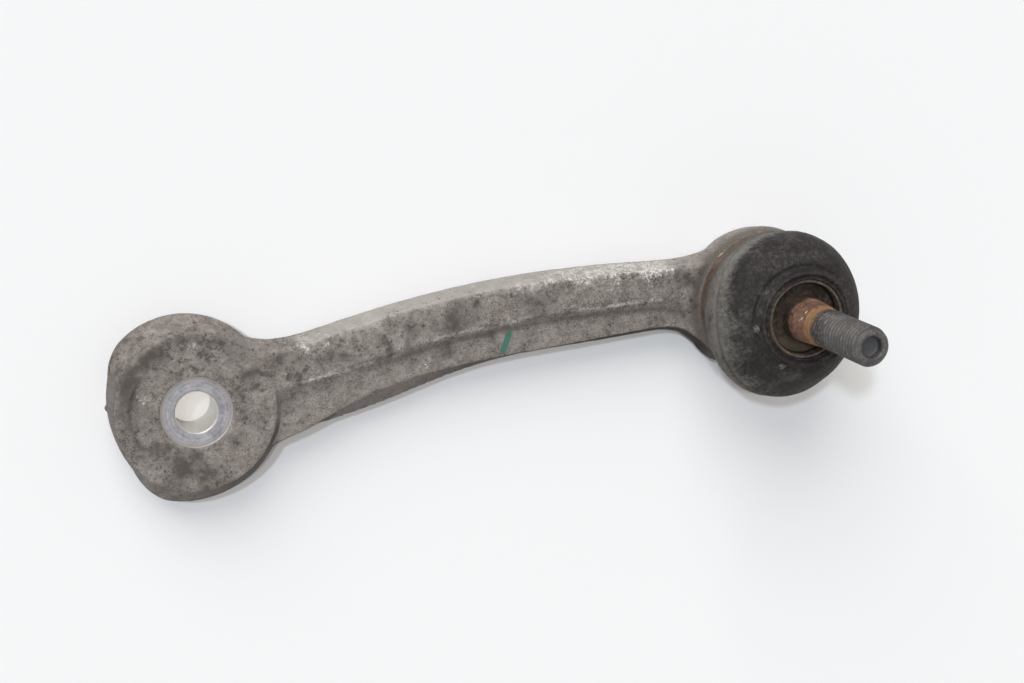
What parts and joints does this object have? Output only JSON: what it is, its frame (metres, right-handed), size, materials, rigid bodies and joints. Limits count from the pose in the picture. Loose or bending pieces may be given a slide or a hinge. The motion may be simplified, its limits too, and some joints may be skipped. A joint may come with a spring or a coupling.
{
  "type": "stabilizer link",
  "caption": "Bowed forged aluminium link with a plain bolted eye at one end and a sealed ball joint with a threaded stud at the other.",
  "frame": {"origin": "middle of the eye's bore, on the plane where the two forging dies met", "axes": "+X from the eye to the ball joint, +Z along the bore and the way the stud points, +Y the side the arm bows to"},
  "size_m": [0.1967, 0.0482, 0.0733],
  "materials": {
    "link_arm": "as forged, oxidised and stained, blotched brown-grey with bright worn edges",
    "ball_stud": "bare steel, coppery rust on the shank and a dark dull thread",
    "bearing_seat": "plain moulded bearing plastic",
    "cover_plate": "pressed steel, dulled",
    "dust_boot": "aged matt rubber with grey-green dust",
    "boot_clip": "spring steel, rusted brown",
    "mouth_ring": "dull grey steel"
  },
  "bodies": {
    "link": {"link_arm": "link_arm", "bearing_seat": "bearing_seat", "cover_plate": "cover_plate", "boot_clip": "boot_clip"},
    "boot": {"dust_boot": "dust_boot"},
    "mouth": {"mouth_ring": "mouth_ring"},
    "stud": {"ball_stud": "ball_stud"}
  },
  "joints": [
    {"name": "stud_tilt_x", "type": "hinge", "parent": "link", "child": "boot", "pos_m": [0.1548, 0, 0.0061], "axis": [1, 0, 0], "range_deg": [-22, 22], "deforming": ["dust_boot"]},
    {"name": "stud_tilt_y", "type": "hinge", "parent": "boot", "child": "mouth", "pos_m": [0.1548, 0, 0.0061], "axis": [0, 1, 0], "range_deg": [-22, 22], "deforming": ["dust_boot"]},
    {"name": "stud_spin", "type": "hinge", "parent": "mouth", "child": "stud", "pos_m": [0.1548, 0, 0.0061], "axis": [0, 0, 1], "continuous": true}
  ]
}
